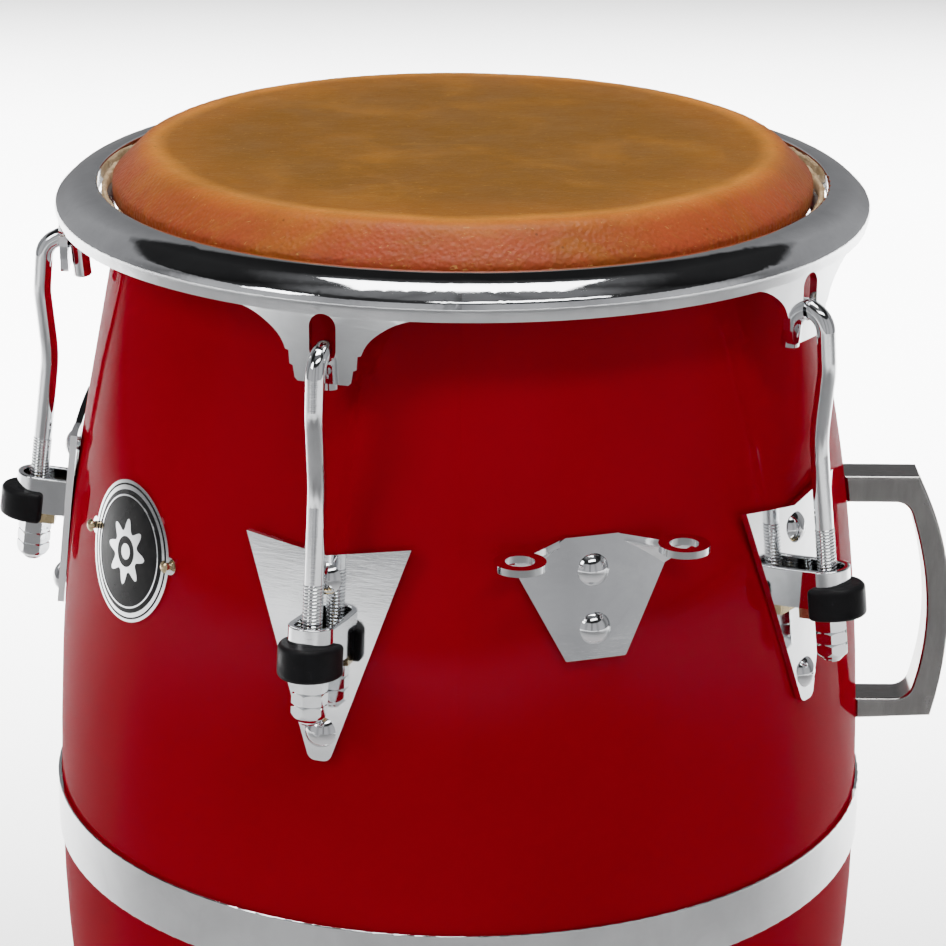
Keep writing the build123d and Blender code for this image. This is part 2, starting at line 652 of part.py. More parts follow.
# --- Bumpers: thick rubber sleeves round the front of each loop --------------------------------
bumper_height = BUMPER_TOP - SADDLE_BOTTOM
with BuildPart() as bumper:
    with BuildSketch(lug_section(SADDLE_BOTTOM)):
        with BuildLine():
            left_side = Line((BUMPER_BACK, -BUMPER_HALF), (0, -BUMPER_HALF))
            EllipticalCenterArc((0, 0), BUMPER_REACH, BUMPER_HALF, start_angle=-90, arc_size=180)
            Line((0, BUMPER_HALF), (BUMPER_BACK, BUMPER_HALF))
            Line((BUMPER_BACK, BUMPER_HALF), left_side @ 0)
        make_face()
    extrude(amount=bumper_height)
    fillet(bumper.edges(), BUMPER_ROUND)
    with BuildSketch(lug_section(SADDLE_BOTTOM)):
        Circle(BUMPER_BORE)
        with Locations((-STRAP_OUTER, 0)):
            Rectangle(STRAP_OUTER * 2, BUMPER_BORE * 2)
    extrude(amount=bumper_height, mode=Mode.SUBTRACT)
write_copies(bumper.part, "bumper")

# --- Lug bolts, and their nuts and washers inside the shell -----------------------------------
lug_bolts, lug_washers, lug_nuts = [], [], []
for bolt_plane in LUG_BOLT_PLANES:
    bolt, washer, nut = fastener(bolt_plane)
    lug_bolts += copies_at(bolt, LUG_AZIMUTHS)
    lug_washers += copies_at(washer, LUG_AZIMUTHS)
    lug_nuts += copies_at(nut, LUG_AZIMUTHS)
write_group(lug_bolts, "lug_bolts")
write_group(lug_washers, "lug_washers")
write_group(lug_nuts, "lug_nuts")

# --- Bracket: a six-sided plate with two tabs that turn level into eyes -------------------------
shoulder_up = BRACKET_HALF_HEIGHT - BRACKET_SHOULDER_DROP
edge_run = BRACKET_SHOULDER_HALF - BRACKET_TOP_HALF
edge_length = sqrt(edge_run**2 + BRACKET_SHOULDER_DROP**2)
edge_angle = -degrees(atan(BRACKET_SHOULDER_DROP / edge_run))
tab_drop = TAB_THICKNESS / 2 + TAB_INSET
edge_middle = (
    (BRACKET_TOP_HALF + BRACKET_SHOULDER_HALF) / 2 - tab_drop * BRACKET_SHOULDER_DROP / edge_length,
    BRACKET_HALF_HEIGHT - BRACKET_SHOULDER_DROP / 2 - tab_drop * edge_run / edge_length,
)
lobe_chord = 2 * sqrt(LOBE_OUTER**2 - LOBE_ROOT**2) - TAB_CORNER
lobe_middle_z = LOBE_TOP_Z - TAB_THICKNESS / 2
with BuildPart() as tab:
    with BuildSketch(BRACKET_PLANE.offset(-PLATE_THICKNESS / 2)):
        with Locations(edge_middle):
            Rectangle(edge_length - 1, TAB_THICKNESS - 2 * TAB_INSET, rotation=edge_angle)
    with BuildSketch(Plane.XZ.offset(LOBE_R - LOBE_ROOT)):
        with Locations((LOBE_X, lobe_middle_z)):
            Rectangle(lobe_chord, TAB_THICKNESS - TAB_INSET)
    loft()
    with BuildSketch(Plane.XY.offset(LOBE_TOP_Z)):
        with Locations((LOBE_X, -LOBE_R)):
            Circle(LOBE_OUTER)
            Circle(LOBE_HOLE, mode=Mode.SUBTRACT)
    extrude(amount=-TAB_THICKNESS)
with BuildPart() as bracket_plate:
    with BuildSketch(BRACKET_PLANE.offset(-3 * PLATE_THICKNESS)) as bracket_outline:
        with BuildLine():
            Polyline(
                (BRACKET_TOP_HALF, BRACKET_HALF_HEIGHT),
                (BRACKET_SHOULDER_HALF, shoulder_up),
                (BRACKET_BOTTOM_HALF, -BRACKET_HALF_HEIGHT),
                (-BRACKET_BOTTOM_HALF, -BRACKET_HALF_HEIGHT),
                (-BRACKET_SHOULDER_HALF, shoulder_up),
                (-BRACKET_TOP_HALF, BRACKET_HALF_HEIGHT),
                close=True,
            )
        make_face()
        fillet(bracket_outline.vertices(), 1.2)
    extrude(amount=4 * PLATE_THICKNESS)
    bend_origin = BRACKET_PLANE.from_local_coords(Vector(0, -BRACKET_HALF_HEIGHT - 5, 0))
    with BuildSketch(Plane(origin=bend_origin, x_dir=BRACKET_PLANE.z_dir, z_dir=BRACKET_PLANE.y_dir)):
        with Locations((-PLATE_BEND, 0)):
            Circle(PLATE_BEND)
            Circle(PLATE_BEND - PLATE_THICKNESS, mode=Mode.SUBTRACT)
    extrude(amount=2 * BRACKET_HALF_HEIGHT + 10, mode=Mode.INTERSECT)
    for bolt_plane in BRACKET_BOLT_PLANES:
        with BuildSketch(bolt_plane):
            Circle(BOLT_HOLE_R)
        extrude(amount=PLATE_THICKNESS * 2, both=True, mode=Mode.SUBTRACT)
    add(tab.part)
    mirror(tab.part, about=Plane.YZ)
write(bracket_plate.part.rotate(Axis.Z, BRACKET_AZIMUTH), "bracket_plate")

bracket_bolts, bracket_washers, bracket_nuts = [], [], []
for bolt_plane in BRACKET_BOLT_PLANES:
    bolt, washer, nut = fastener(bolt_plane)
    bracket_bolts += copies_at(bolt, [BRACKET_AZIMUTH])
    bracket_washers += copies_at(washer, [BRACKET_AZIMUTH])
    bracket_nuts += copies_at(nut, [BRACKET_AZIMUTH])
write_group(bracket_bolts, "bracket_bolts")
write_group(bracket_washers, "bracket_washers")
write_group(bracket_nuts, "bracket_nuts")

# --- Handle: a cast side handle, screwed on from inside the shell -------------------------------
inside_wall = wall_form(-WALL * 4, FIT_GAP, RIM_Z - 300, RIM_Z - 100)
with BuildPart() as handle:
    with BuildSketch(RIM_SIDE):
        with BuildLine():
            grip = Spline(*GRIP_OUTSIDE)
            Polyline(grip @ 1, (ARM_ROOT_R, ARM_BOTTOM), (ARM_ROOT_R, GRIP_OUTSIDE[0][1]), grip @ 0)
        make_face()
    extrude(amount=HANDLE_WIDTH / 2, both=True)
    with BuildSketch(RIM_SIDE) as window:
        with BuildLine():
            grip_inside = Spline(*GRIP_INSIDE)
            Polyline(
                grip_inside @ 1,
                (ARM_ROOT_R - 5, GRIP_INSIDE[-1][1]),
                (ARM_ROOT_R - 5, GRIP_INSIDE[0][1]),
                grip_inside @ 0,
            )
        make_face()
        fillet(window.vertices().sort_by(Axis.X)[-2:], WINDOW_ROUND)
    extrude(amount=HANDLE_WIDTH, both=True, mode=Mode.SUBTRACT)
    add(inside_wall, mode=Mode.SUBTRACT)
    rims = handle.edges().group_by(Axis.X)
    fillet(rims[0] + rims[-1], HANDLE_EDGE_ROUND)
    for screw_plane in HANDLE_PLANES:
        with BuildSketch(screw_plane):
            Circle(BOLT_HOLE_R)
        extrude(amount=HANDLE_THREAD_DEPTH + 1, both=True, mode=Mode.SUBTRACT)
write(handle.part.rotate(Axis.Z, HANDLE_AZIMUTH), "handle")

handle_screws, handle_washers = [], []
for screw_plane in HANDLE_PLANES:
    depth = WALL + 2 * WASHER_STANDOFF + 1.0
    seat = screw_plane.offset(-depth - WASHER_THICKNESS)
    seat_facing_in = Plane(origin=seat.origin, x_dir=seat.x_dir, z_dir=-seat.z_dir)
    reach = depth + WASHER_THICKNESS + HANDLE_THREAD_DEPTH
    screw = headed_pin(seat_facing_in, SCREW_HEAD_R, SCREW_HEAD_HEIGHT, BOLT_R, reach)
    washer, _ = washer_and_nut(screw_plane, depth)
    handle_screws += copies_at(screw, [HANDLE_AZIMUTH])
    handle_washers += copies_at(washer, [HANDLE_AZIMUTH])
write_group(handle_screws, "handle_screws")
write_group(handle_washers, "handle_washers")

# --- Badge: a thin oval plate with a screw tab at each side --------------------------------------
badge_sleeve = wall_form(FIT_GAP, FIT_GAP + BADGE_THICKNESS, BADGE_Z - 50, BADGE_Z + 50)
badge_plane = wall_face(BADGE_Z)
badge_screw_planes = [badge_screw_plane(side) for side in (-1, 1)]
with BuildPart() as badge_plate:
    with BuildSketch(badge_plane.offset(-12)):
        Ellipse(BADGE_HALF_WIDTH, BADGE_HALF_HEIGHT)
        with Locations((-BADGE_SCREW_X, BADGE_SCREW_UP), (BADGE_SCREW_X, BADGE_SCREW_UP)):
            Circle(BADGE_TAB_R)
    extrude(amount=24)
    add(badge_sleeve, mode=Mode.INTERSECT)
    for screw_plane in badge_screw_planes:
        with BuildSketch(screw_plane):
            Circle(BADGE_SCREW_R + FIT_GAP)
        extrude(amount=10, both=True, mode=Mode.SUBTRACT)
write(badge_plate.part.rotate(Axis.Z, BADGE_AZIMUTH), "badge_plate")
badge_screws = []
for screw_plane in badge_screw_planes:
    screw = headed_pin(
        screw_plane.offset(FIT_GAP), BADGE_SCREW_HEAD_R, BADGE_SCREW_DOME, BADGE_SCREW_R, BADGE_SCREW_LENGTH
    )
    badge_screws += copies_at(screw, [BADGE_AZIMUTH])
write_group(badge_screws, "badge_screws")
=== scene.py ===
import math

import bpy
from mathutils import Matrix, Vector, noise
from mathutils.bvhtree import BVHTree


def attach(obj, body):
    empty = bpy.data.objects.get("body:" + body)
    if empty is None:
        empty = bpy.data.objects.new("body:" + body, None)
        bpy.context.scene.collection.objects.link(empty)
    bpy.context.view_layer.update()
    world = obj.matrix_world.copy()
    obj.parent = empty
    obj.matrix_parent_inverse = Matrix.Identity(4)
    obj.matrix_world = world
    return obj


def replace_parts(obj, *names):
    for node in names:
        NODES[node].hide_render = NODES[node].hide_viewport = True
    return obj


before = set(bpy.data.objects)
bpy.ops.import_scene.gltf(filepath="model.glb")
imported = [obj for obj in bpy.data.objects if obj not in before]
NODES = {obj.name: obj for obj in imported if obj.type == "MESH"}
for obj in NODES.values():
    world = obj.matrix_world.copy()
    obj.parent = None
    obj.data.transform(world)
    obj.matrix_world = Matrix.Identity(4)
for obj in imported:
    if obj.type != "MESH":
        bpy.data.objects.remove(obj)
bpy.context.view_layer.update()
MM = 0.001
FULL_TURN = 2 * math.pi

# --- The drum's own measures, in millimetres, as the solids have them -------------------------
RIM_Z = 748.0
HEAD_TOP_Z = 762.0
SKIN = 1.8
SKIRT_R = 177.5
LUG_AZIMUTHS = (-90.0, -18.0, 54.0, 126.0, 198.0)
LUG_R = 192.0
LUG_Z = 600.8
LUG_TILT = math.radians(7.0)
ROD_R = 3.97
BADGE_AZIMUTH = math.radians(-54.0)
BADGE_Z = 607.0
OUTSIDE_R = 400.0  # clear of everything on the drum

# --- The fine pieces' measures, in millimetres --------------------------------------------------
CREST_R = 135.5  # where the hide's flat top ends
ROLL_R = 10.0
COLLAR_SLOPE = math.radians(45)
COLLAR_FOOT = (153.2, 748.4)
COLLAR_TUCK = ((153.6, 746.6), (153.6, 743.5), (153.2, 740.5))
TOP_RINGS = 60
ROLL_RINGS = 12
COLLAR_RINGS = 8
HIDE_SIDES = 420
HIDE_WAVE = 0.22
HIDE_WAVE_SCALE = 0.022
HIDE_WAVE_NOISE = (0.9, 2.1, 5)  # roughness, lacunarity and octaves
HIDE_PEBBLE = 0.13
HIDE_PEBBLE_SCALE = 0.42
HIDE_SINK = 0.15
PEBBLES_FROM_R = 128.0
PEBBLES_FADE = 12.0
INNER_SHRINK = 0.7  # of the skin, on the roll and the collar

TUCK_SECTION = ((156.6, -7.0), (156.0, 0.0), (157.2, 0.6), (158.3, 0.0), (158.5, -7.0))
TUCK_SIDES = 720
TUCK_Z = 743.4
TUCK_LIMIT_Z = 745.6
TUCK_WAVE = 1.5
TUCK_WAVE_SCALE = 0.22
TUCK_WAVE_NOISE = (0.8, 2.2, 5)
TUCK_FRAY = 0.8
TUCK_FRAY_SCALE = 2.6
TUCK_FRAY_SHIFT = Vector((7, 3, 1))
TUCK_NOISE_R = 40.0
TUCK_SWAY = 0.35

THREAD_SPAN = (-15.3, 23.0)  # along the rod
THREAD_PITCH = 25.4 / 18
THREAD_ROOT = ROD_R - 0.12
THREAD_DEPTH = 0.38
THREAD_FLANK = 1.25
THREAD_RUN_OUT = 1.2
THREAD_RUN_IN = 0.6
THREAD_SIDES = 28
THREAD_RINGS = 10  # in one turn

INLAY_RINGS = 6
INLAY_SIDES = 96
INLAY_HUB = (0.01, 0.01)
BADGE_FIELD = (25.6, 26.2)  # half width and half height
OUTER_LINE = ((28.3, 28.9), (27.5, 28.1))
INNER_LINE = ((23.6, 24.2), (22.9, 23.5))
ROSETTE_R = 9.0
ROSETTE_PETAL = 5.4
ROSETTE_HOLE = (6.6, 6.6)
BUTTON = (3.4, 3.4)
FIELD_LIFT = 0.15
OUTER_LINE_LIFT = 0.12
INNER_LINE_LIFT = 0.35
MOTIF_LIFT = 0.38

WELD_MIDDLE = 0.01
WELD_HALF_WIDTH = 3.4
WELD_HALF_HEIGHT = 3.1
WELD_WOBBLE = 0.12
WELD_RISE = 0.45
WELD_SEAT = 0.02
WELD_DROP = 11.5
WELD_RINGS = 6
WELD_SIDES = 32


# --- Materials --------------------------------------------------------------------------------
def fill_ramp(node, stops):
    """Gives a colour ramp its stops: a place and a grey or a colour for each."""
    row = node.color_ramp.elements
    while len(row) < len(stops):
        row.new(0.5)
    for element, (place, colour) in zip(row, stops):
        grey = isinstance(colour, float)
        element.position = place
        element.color = (colour, colour, colour, 1.0) if grey else (*colour, 1.0)


class Shader:
    """One procedural material. Its patterns are in the drum's own coordinates, in metres."""

    def __init__(self, name, **sockets):
        self.material = bpy.data.materials.new(name)
        self.material.use_nodes = True
        self.tree = self.material.node_tree
        self.tree.nodes.clear()
        self.surface = self.add("ShaderNodeBsdfPrincipled")
        for socket, value in sockets.items():
            title = socket.replace("_", " ").title().replace("Ior", "IOR")
            self.surface.inputs[title].default_value = value
        output = self.add("ShaderNodeOutputMaterial")
        self.link(self.surface.outputs["BSDF"], output.inputs["Surface"])
        self.position = self.add("ShaderNodeTexCoord").outputs["Object"]

    def add(self, kind, **settings):
        node = self.tree.nodes.new(kind)
        for name, value in settings.items():
            setattr(node, name, value)
        return node

    def link(self, source, target):
        self.tree.links.new(source, target)

    def feed(self, value, target):
        if isinstance(value, bpy.types.NodeSocket):
            self.link(value, target)
        else:
            target.default_value = value

    def stretched(self, scale, turn=(0.0, 0.0, 0.0)):
        node = self.add("ShaderNodeMapping")
        node.inputs["Scale"].default_value = scale
        node.inputs["Rotation"].default_value = turn
        self.link(self.position, node.inputs["Vector"])
        return node.outputs["Vector"]

    def noise(self, scale, detail=4.0, rough=0.5, warp=0.0, at=None):
        node = self.add("ShaderNodeTexNoise")
        node.inputs["Scale"].default_value = scale
        node.inputs["Detail"].default_value = detail
        node.inputs["Roughness"].default_value = rough
        node.inputs["Distortion"].default_value = warp
        self.link(at or self.position, node.inputs["Vector"])
        return node.outputs["Fac"]

    def cells(self, scale, feature="F1", smooth=None):
        node = self.add("ShaderNodeTexVoronoi", feature=feature)
        node.inputs["Scale"].default_value = scale
        if smooth is not None:
            node.inputs["Smoothness"].default_value = smooth
        self.link(self.position, node.inputs["Vector"])
        return node.outputs["Distance"]

    def ramp(self, value, *stops):
        node = self.add("ShaderNodeValToRGB")
        fill_ramp(node, stops)
        self.link(value, node.inputs["Fac"])
        return node.outputs["Color"]

    def mix(self, amount, first, second):
        """first, turned by amount into second, a plain colour."""
        node = self.add("ShaderNodeMix", data_type="RGBA")
        self.link(amount, node.inputs[0])
        self.link(first, node.inputs[6])
        node.inputs[7].default_value = (*second, 1.0)
        return node.outputs[2]

    def math(self, how, first, second):
        node = self.add("ShaderNodeMath", operation=how)
        self.feed(first, node.inputs[0])
        self.feed(second, node.inputs[1])
        return node.outputs[0]

    def reach(self):
        """Distance from the drum's axis, in metres."""
        parts = self.add("ShaderNodeSeparateXYZ")
        self.link(self.position, parts.inputs[0])
        squares = [self.math("MULTIPLY", parts.outputs[i], parts.outputs[i]) for i in (0, 1)]
        return self.math("SQRT", self.math("ADD", *squares), 0.0)

    def bump(self, height, depth, under=None):
        node = self.add("ShaderNodeBump")
        node.inputs["Distance"].default_value = depth
        self.link(height, node.inputs["Height"])
        if under is not None:
            self.link(under, node.inputs["Normal"])
        return node.outputs["Normal"]

    def finish(self, colour, roughness, normal=None):
        self.link(colour, self.surface.inputs["Base Color"])
        self.link(roughness, self.surface.inputs["Roughness"])
        if normal is not None:
            self.link(normal, self.surface.inputs["Normal"])
        return self.material


def lacquer():
    s = Shader("candy_lacquer", coat_weight=0.05, coat_roughness=0.03, coat_ior=1.8, specular_ior_level=0.0)
    clouds = s.noise(5.0, 3.0, 0.55)
    colour = s.ramp(clouds, (0.3, (0.320, 0.0004, 0.0105)), (0.7, (0.395, 0.0006, 0.0150)))
    dust = s.ramp(s.cells(160.0), (0.02, 1.0), (0.035, 0.0))
    colour = s.mix(s.math("MULTIPLY", dust, 0.10), colour, (0.50, 0.10, 0.10))
    hairlines = s.noise(26.0, 6.0, 0.7, 0.4, s.stretched((1.0, 1.0, 14.0), (0.5, 0.3, 0.0)))
    rubbed = s.ramp(hairlines, (0.6, 0.035), (0.72, 0.09))
    haze = s.ramp(s.noise(14.0, 4.0), (0.35, 0.0), (0.75, 0.05))
    roughness = s.math("ADD", rubbed, haze)
    peel = s.bump(s.noise(210.0, 2.0, 0.5), 0.000012)
    return s.finish(colour, roughness, s.bump(s.noise(9.0, 2.0), 0.0002, peel))


def plating(name, shade, low, high, tone=(1.0, 1.0, 1.0)):
    s = Shader(name, metallic=1.0)
    smudge = s.noise(38.0, 5.0, 0.6, 0.5)
    light, dark = (tuple(shade * gain * t for t in tone) for gain in (1.0, 0.86))
    colour = s.ramp(smudge, (0.3, dark), (0.62, light))
    specks = s.ramp(s.cells(520.0), (0.03, 1.0), (0.07, 0.0))
    colour = s.mix(s.math("MULTIPLY", specks, 0.35), colour, tuple(0.35 * t for t in tone))
    roughness = s.ramp(s.noise(60.0, 6.0, 0.65), (0.35, low), (0.75, high))
    scratch = s.noise(110.0, 5.0, 0.7, 0.2, s.stretched((1.0, 1.0, 9.0), (0.2, 0.4, 0.1)))
    normal = s.bump(scratch, 0.000010)
    return s.finish(colour, roughness, s.bump(s.noise(22.0, 2.0), 0.00008, normal))


def satin():
    s = Shader("satin_plate", metallic=1.0)
    brushed = s.noise(150.0, 6.0, 0.75, 0.0, s.stretched((1.0, 6.0, 0.25)))
    colour = s.ramp(brushed, (0.3, (0.30, 0.29, 0.28)), (0.7, (0.42, 0.41, 0.40)))
    roughness = s.ramp(s.noise(45.0, 5.0, 0.6), (0.3, 0.17), (0.75, 0.30))
    return s.finish(colour, roughness, s.bump(brushed, 0.00003))


def hide():
    s = Shader("amber_hide", specular_ior_level=0.15)
    reach = s.math("MULTIPLY", s.reach(), 6.0)
    wander = s.math("MULTIPLY", s.noise(9.0, 6.0, 0.6, 0.6), 0.07)
    place = s.math("SUBTRACT", s.math("ADD", reach, wander), 0.035)
    # Colour by distance from the axis. The olive-brown top and the dark red-brown collar are the hide's own
    # tones. The bright orange band on the roll (stops 0.765 to 0.83) is a painted highlight of the roll's
    # gloss, laid all round.
    colour = s.ramp(
        place,
        (0.10, (0.215, 0.090, 0.007)),
        (0.60, (0.235, 0.092, 0.006)),
        (0.765, (0.330, 0.116, 0.008)),
        (0.805, (0.740, 0.260, 0.022)),
        (0.83, (0.640, 0.180, 0.024)),
        (0.865, (0.470, 0.092, 0.028)),
        (0.93, (0.400, 0.062, 0.026)),
    )
    blotch = s.ramp(s.noise(15.0, 5.0, 0.6, 1.2), (0.42, 0.0), (0.72, 0.5))
    colour = s.mix(blotch, colour, (0.200, 0.088, 0.010))
    warm = s.ramp(s.noise(21.0, 5.0, 0.6, 0.8), (0.52, 0.0), (0.75, 0.45))
    colour = s.mix(warm, colour, (0.52, 0.20, 0.012))
    fibres = s.noise(60.0, 8.0, 0.72, 0.5, s.stretched((1.0, 5.0, 1.0), (0.0, 0.0, 0.35)))
    colour = s.mix(s.ramp(fibres, (0.54, 0.0), (0.74, 0.4)), colour, (0.50, 0.24, 0.04))
    hairs = s.noise(190.0, 3.0, 0.6, 1.6, s.stretched((1.0, 4.0, 2.5), (0.0, 0.0, -0.5)))
    colour = s.mix(s.ramp(hairs, (0.66, 0.0), (0.70, 0.6)), colour, (0.72, 0.40, 0.10))
    pocks = s.ramp(s.cells(85.0), (0.03, 0.6), (0.07, 0.0))
    colour = s.mix(pocks, colour, (0.07, 0.035, 0.010))
    grain = s.noise(900.0, 3.0, 0.6)
    colour = s.mix(s.ramp(grain, (0.35, 0.22), (0.65, 0.0)), colour, (0.12, 0.05, 0.015))
    roughness = s.ramp(s.noise(34.0, 6.0, 0.7), (0.3, 0.30), (0.7, 0.48))
    pores = s.cells(480.0, "SMOOTH_F1", 0.6)
    on_collar = s.ramp(reach, (0.80, 0.10), (0.9, 0.8))
    pebbles = s.math("MULTIPLY", pores, on_collar)
    normal = s.bump(pebbles, 0.00055, s.bump(grain, 0.00008))
    return s.finish(colour, roughness, s.bump(fibres, 0.00008, normal))


def raw_edge():
    s = Shader("raw_hide_edge")
    strands = s.noise(240.0, 6.0, 0.7, 0.6)
    colour = s.ramp(strands, (0.3, (0.36, 0.22, 0.10)), (0.7, (0.72, 0.55, 0.33)))
    return s.finish(colour, s.ramp(strands, (0.2, 0.6), (0.8, 0.85)), s.bump(strands, 0.0004))


def rubber(name, scale):
    s = Shader(name, specular_ior_level=0.16)
    mottle = s.noise(scale, 6.0, 0.65)
    colour = s.ramp(mottle, (0.3, (0.003, 0.003, 0.0035)), (0.75, (0.012, 0.012, 0.0135)))
    chalk = s.ramp(s.noise(scale * 4.0, 5.0, 0.7, 0.8), (0.62, 0.0), (0.78, 0.35))
    colour = s.mix(chalk, colour, (0.045, 0.045, 0.048))
    roughness = s.ramp(s.noise(scale * 2.0, 5.0), (0.3, 0.38), (0.7, 0.62))
    return s.finish(colour, roughness, s.bump(s.noise(scale * 9.0, 4.0, 0.6), 0.00008))


def enamel():
    s = Shader("black_enamel", coat_weight=0.05, coat_roughness=0.05, specular_ior_level=0.06)
    mottle = s.noise(120.0, 5.0, 0.6)
    colour = s.ramp(mottle, (0.3, (0.004, 0.004, 0.005)), (0.7, (0.014, 0.013, 0.013)))
    return s.finish(colour, s.ramp(mottle, (0.3, 0.14), (0.7, 0.28)), s.bump(mottle, 0.00002))


def floor_paint():
    s = Shader("studio_floor")
    mottle = s.noise(1.5, 4.0)
    colour = s.ramp(mottle, (0.3, (0.88, 0.88, 0.88)), (0.7, (0.92, 0.92, 0.92)))
    return s.finish(colour, s.ramp(mottle, (0.3, 0.8), (0.7, 0.9)))


CHROME = plating("bright_chrome", 0.86, 0.03, 0.09, (0.97, 0.985, 1.0))
HIDE = hide()
RAW_EDGE = raw_edge()
BRASS = plating("yellowed_brass", 0.62, 0.16, 0.34, (1.0, 0.80, 0.46))
ZINC = plating("zinc_plate", 0.62, 0.18, 0.38, (1.0, 0.98, 0.90))
STEEL = plating("drawn_steel", 0.5, 0.22, 0.42)
ENAMEL = enamel()
FINISHES = (
    ("shell", lacquer()),
    ("head_skin", HIDE),
    ("foot_ring", rubber("foot_rubber", 24.0)),
    ("bumper", rubber("bumper_rubber", 70.0)),
    ("saddle", BRASS),
    ("handle_", ZINC),
    ("handle", satin()),
    ("badge_screws", BRASS),
    ("flesh_ring", STEEL),
    ("lug_washers", ZINC),
    ("lug_nuts", ZINC),
    ("bracket_washers", ZINC),
    ("bracket_nuts", ZINC),
)


def finish_of(name):
    """The finish of the first start that the node's name has; chrome for all the others."""
    for start, material in FINISHES:
        if name.startswith(start):
            return material
    return CHROME


for name, node in NODES.items():
    node.data.materials.clear()
    node.data.materials.append(finish_of(name))


# --- Mesh helpers -----------------------------------------------------------------------------
def make(name, points, faces, material, body, smooth=True):
    """A mesh from points in millimetres in the drum's frame, riding on a CAD body."""
    mesh = bpy.data.meshes.new(name)
    mesh.from_pydata([tuple(c * MM for c in p) for p in points], [], faces)
    mesh.materials.append(material)
    mesh.polygons.foreach_set("use_smooth", [smooth] * len(mesh.polygons))
    mesh.update()
    piece = bpy.data.objects.new(name, mesh)
    bpy.context.scene.collection.objects.link(piece)
    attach(piece, body)
    return piece


def grid_faces(rows, columns, flip=False):
    """Quads over rows of points, with each row's last point joined to its first."""
    faces = []
    for i in range(rows - 1):
        for j in range(columns):
            k = (j + 1) % columns
            quad = (i * columns + j, i * columns + k, (i + 1) * columns + k, (i + 1) * columns + j)
            faces.append(quad[::-1] if flip else quad)
    return faces


def turns(count):
    """The angles of count places round a circle."""
    return [FULL_TURN * i / count for i in range(count)]


def polar(azimuth, radius, z):
    return Vector((radius * math.sin(azimuth), -radius * math.cos(azimuth), z))


# --- Head: a fine hide with its own unevenness ----------------------------------------------
def hide_profile():
    """Radius and height down the hide's outside, from its middle to where it leaves sight."""
    line = [(CREST_R * i / TOP_RINGS, HEAD_TOP_Z) for i in range(TOP_RINGS + 1)]
    for i in range(1, ROLL_RINGS + 1):
        turn = COLLAR_SLOPE * i / ROLL_RINGS
        line.append((CREST_R + ROLL_R * math.sin(turn), HEAD_TOP_Z - ROLL_R * (1 - math.cos(turn))))
    start = line[-1]
    for i in range(1, COLLAR_RINGS + 1):
        line.append(tuple(a + (b - a) * i / COLLAR_RINGS for a, b in zip(start, COLLAR_FOOT)))
    return [*line, *COLLAR_TUCK]


def head():
    outside = hide_profile()
    points = []
    for r, z in outside:
        pebbled = min(1.0, max(0.0, (r - PEBBLES_FROM_R) / PEBBLES_FADE))
        for a in turns(HIDE_SIDES):
            p = polar(a, r, z)
            wave = noise.fractal(p * HIDE_WAVE_SCALE, *HIDE_WAVE_NOISE) * HIDE_WAVE
            pebble = noise.noise(p * HIDE_PEBBLE_SCALE) * HIDE_PEBBLE * pebbled
            points.append(p + Vector((0, 0, min(0.0, wave + pebble - HIDE_SINK))))
    for r, z in outside:
        shrink = INNER_SHRINK * SKIN if r > CREST_R else 0.0
        points += [polar(a, r - shrink, z - SKIN) for a in turns(HIDE_SIDES)]
    rows = len(outside)
    inner = rows * HIDE_SIDES
    last = inner - HIDE_SIDES
    faces = grid_faces(rows, HIDE_SIDES, flip=True)
    faces += [tuple(i + inner for i in quad) for quad in grid_faces(rows, HIDE_SIDES)]
    for j in range(HIDE_SIDES):
        k = (j + 1) % HIDE_SIDES
        faces.append((last + k, last + j, last + inner + j, last + inner + k))
    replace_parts(make("hide_surface", points, faces, HIDE, "hoop"), "head_skin")


def tuck():
    """The raw cut edge of the hide, standing unevenly between the collar and the hoop."""
    points = []
    for r, lift in TUCK_SECTION:
        uneven = 1.0 if lift >= 0 else 0.0
        for a in turns(TUCK_SIDES):
            p = polar(a, TUCK_NOISE_R, 0.0)
            wave = noise.fractal(p * TUCK_WAVE_SCALE, *TUCK_WAVE_NOISE)
            fray = noise.noise(p * TUCK_FRAY_SCALE + TUCK_FRAY_SHIFT) * TUCK_FRAY
            top = TUCK_Z + (TUCK_WAVE * wave + fray) * uneven + lift
            points.append(polar(a, r + TUCK_SWAY * wave, min(top, TUCK_LIMIT_Z)))
    faces = grid_faces(len(TUCK_SECTION), TUCK_SIDES, flip=True)
    make("hide_cut_edge", points, faces, RAW_EDGE, "hoop")


# --- Rolled threads ---------------------------------------------------------------------------
def lug_point(azimuth, along, out, side):
    """A point of a lug: along its rod, out from the drum and sideways, in millimetres."""
    outward = polar(azimuth, 1.0, 0.0)
    across = Vector((math.cos(azimuth), math.sin(azimuth), 0.0))
    up = Vector((0, 0, math.cos(LUG_TILT))) - outward * math.sin(LUG_TILT)
    away = outward * math.cos(LUG_TILT) + Vector((0, 0, math.sin(LUG_TILT)))
    return polar(azimuth, LUG_R, LUG_Z) + up * along + away * out + across * side


def thread(number, azimuth):
    low, high = THREAD_SPAN
    rings = int((high - low) / THREAD_PITCH * THREAD_RINGS)
    points = []
    for i in range(rings + 1):
        along = low + (high - low) * i / rings
        fade = min(1.0, (high - along) / THREAD_RUN_OUT, (along - low) / THREAD_RUN_IN)
        for j, turn in enumerate(turns(THREAD_SIDES)):
            phase = (along / THREAD_PITCH - j / THREAD_SIDES) % 1.0
            crest = min(1.0, (1 - abs(2 * phase - 1)) * THREAD_FLANK)
            r = THREAD_ROOT + THREAD_DEPTH * crest * fade
            points.append(lug_point(azimuth, along, r * math.cos(turn), r * math.sin(turn)))
    faces = grid_faces(rings + 1, THREAD_SIDES)
    make(f"thread_{number}", points, faces, CHROME, f"hook_{number}")


